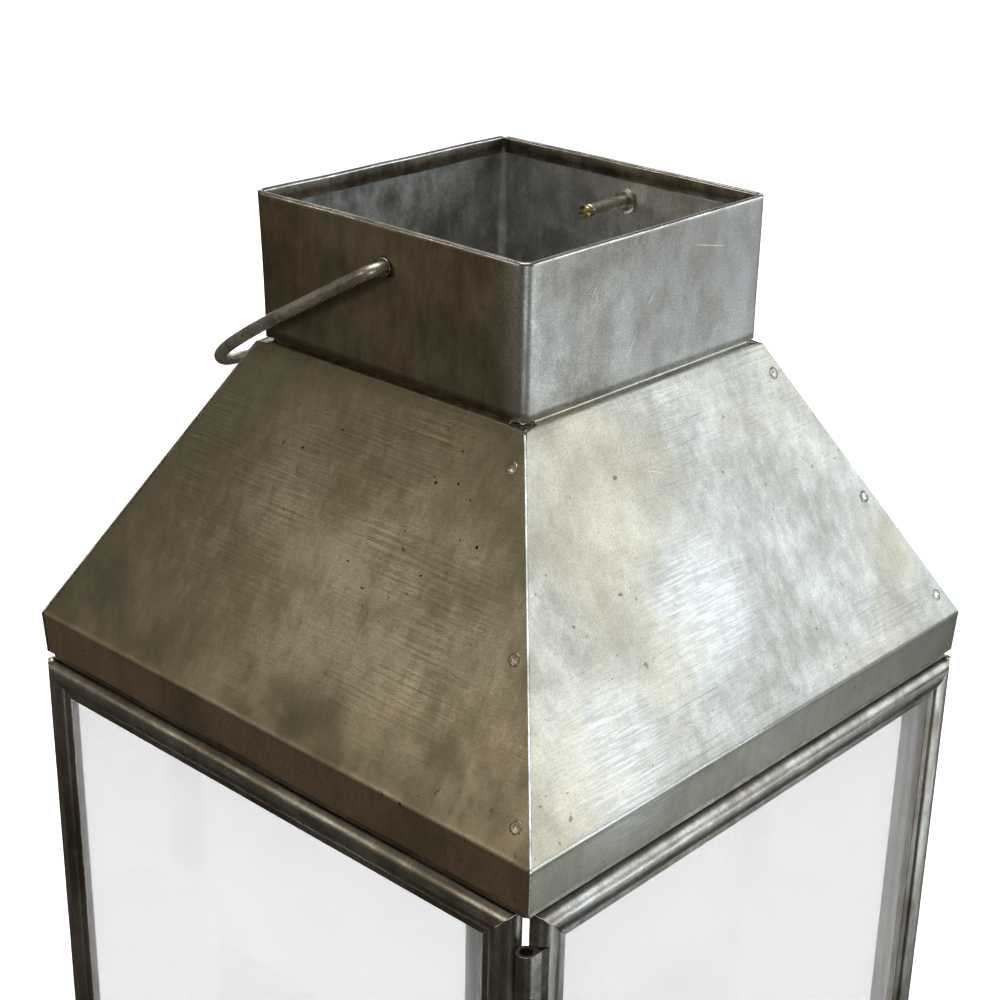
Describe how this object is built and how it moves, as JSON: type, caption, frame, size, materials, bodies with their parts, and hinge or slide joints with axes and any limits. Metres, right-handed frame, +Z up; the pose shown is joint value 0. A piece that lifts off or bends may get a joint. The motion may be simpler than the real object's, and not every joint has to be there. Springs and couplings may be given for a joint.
{
  "type": "candle lantern",
  "caption": "Square sheet-metal candle lantern with an open chimney collar, swinging bail handle, sloping roof, glazed sides, a hinged glass door with a turn latch, and a pillar candle.",
  "frame": {"origin": "centre of the footprint, on the surface that the lantern stands on", "axes": "+Z up, the door faces -Y, the bail's pivot axis runs along X and the bail lies towards +Y"},
  "size_m": [0.262, 0.295, 0.6],
  "materials": {
    "aged_metal": "antiqued dark zinc with brown and olive patina",
    "roof_metal": "antiqued brushed zinc, mottled, with fine brush lines",
    "collar_metal": "antiqued mottled zinc",
    "frame_metal": "dark antiqued sheet, rubbed on its edges",
    "handle_brass": "dull antique brass",
    "bright_brass": "worn brass",
    "solder": "bright spot welds and rivets",
    "pin_steel": "dark steel",
    "glass": "clear sheet glass",
    "wax": "ivory candle wax",
    "wick": "charred cotton"
  },
  "bodies": {
    "lantern": {"collar": "collar_metal", "bail_eyelets": "bright_brass", "roof_panel_front": "roof_metal", "roof_panel_right": "roof_metal", "roof_panel_back": "roof_metal", "roof_panel_left": "roof_metal", "roof_spot_welds": "solder", "plate_rivets": "solder", "candle_spike": "solder", "top_ring": "aged_metal", "plinth": "aged_metal", "candle_plate": "aged_metal", "frame_glass_clips": "aged_metal", "latch_keeper": "aged_metal", "left_frame_top_rail": "frame_metal", "left_frame_bottom_rail": "frame_metal", "left_frame_front_stile": "frame_metal", "left_frame_rear_stile": "frame_metal", "right_frame_top_rail": "frame_metal", "right_frame_bottom_rail": "frame_metal", "right_frame_front_stile": "frame_metal", "right_frame_rear_stile": "frame_metal", "back_frame_top_rail": "frame_metal", "back_frame_bottom_rail": "frame_metal", "back_frame_left_stile": "frame_metal", "back_frame_right_stile": "frame_metal", "frame_hinge_knuckles": "frame_metal", "left_glass": "glass", "right_glass": "glass", "back_glass": "glass", "hinge_pins": "pin_steel", "candle": "wax", "candle_wick": "wick"},
    "door": {"door_top_rail": "frame_metal", "door_bottom_rail": "frame_metal", "door_hinge_stile": "frame_metal", "door_latch_stile": "frame_metal", "door_glass": "glass", "door_glass_clips": "aged_metal", "door_hinge_knuckles": "frame_metal", "latch_rosette": "bright_brass"},
    "latch": {"latch_knob": "bright_brass", "latch_spindle": "pin_steel", "latch_tongue": "aged_metal"},
    "bail": {"bail_handle": "handle_brass"}
  },
  "joints": [
    {"name": "door_swing", "type": "hinge", "parent": "lantern", "child": "door", "pos_m": [-0.1273, -0.1273, 0.2], "axis": [0, 0, -1], "range_deg": [0, 170]},
    {"name": "latch_turn", "type": "hinge", "parent": "door", "child": "latch", "pos_m": [0.12265, -0.131, 0.2125], "axis": [0, 1, 0], "range_deg": [0, 90]},
    {"name": "bail_swing", "type": "hinge", "parent": "lantern", "child": "bail", "pos_m": [0, 0, 0.5848], "axis": [1, 0, 0], "range_deg": [0, 239]}
  ]
}
